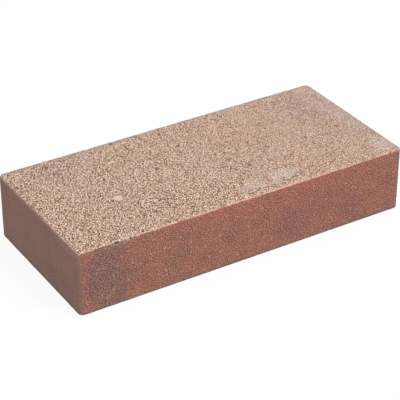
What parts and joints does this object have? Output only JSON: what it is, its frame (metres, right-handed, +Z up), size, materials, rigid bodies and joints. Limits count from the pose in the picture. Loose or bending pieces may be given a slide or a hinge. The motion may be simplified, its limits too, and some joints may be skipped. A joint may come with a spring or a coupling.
{
  "type": "concrete brick",
  "caption": "Solid flat rectangular concrete brick with rounded vertical corners and softened edges, for paving or bricklaying; rough struck top face, smoother drawn sides.",
  "frame": {"origin": "centre of the bed face, on the surface that the brick lies on", "axes": "+X along the length, +Y across the width, +Z up to the struck face"},
  "size_m": [0.203, 0.092, 0.038],
  "materials": {
    "red_concrete": "dry-cast red and charcoal concrete, rough tan struck face, matt"
  },
  "bodies": {
    "root": {"brick": "red_concrete"}
  },
  "joints": []
}
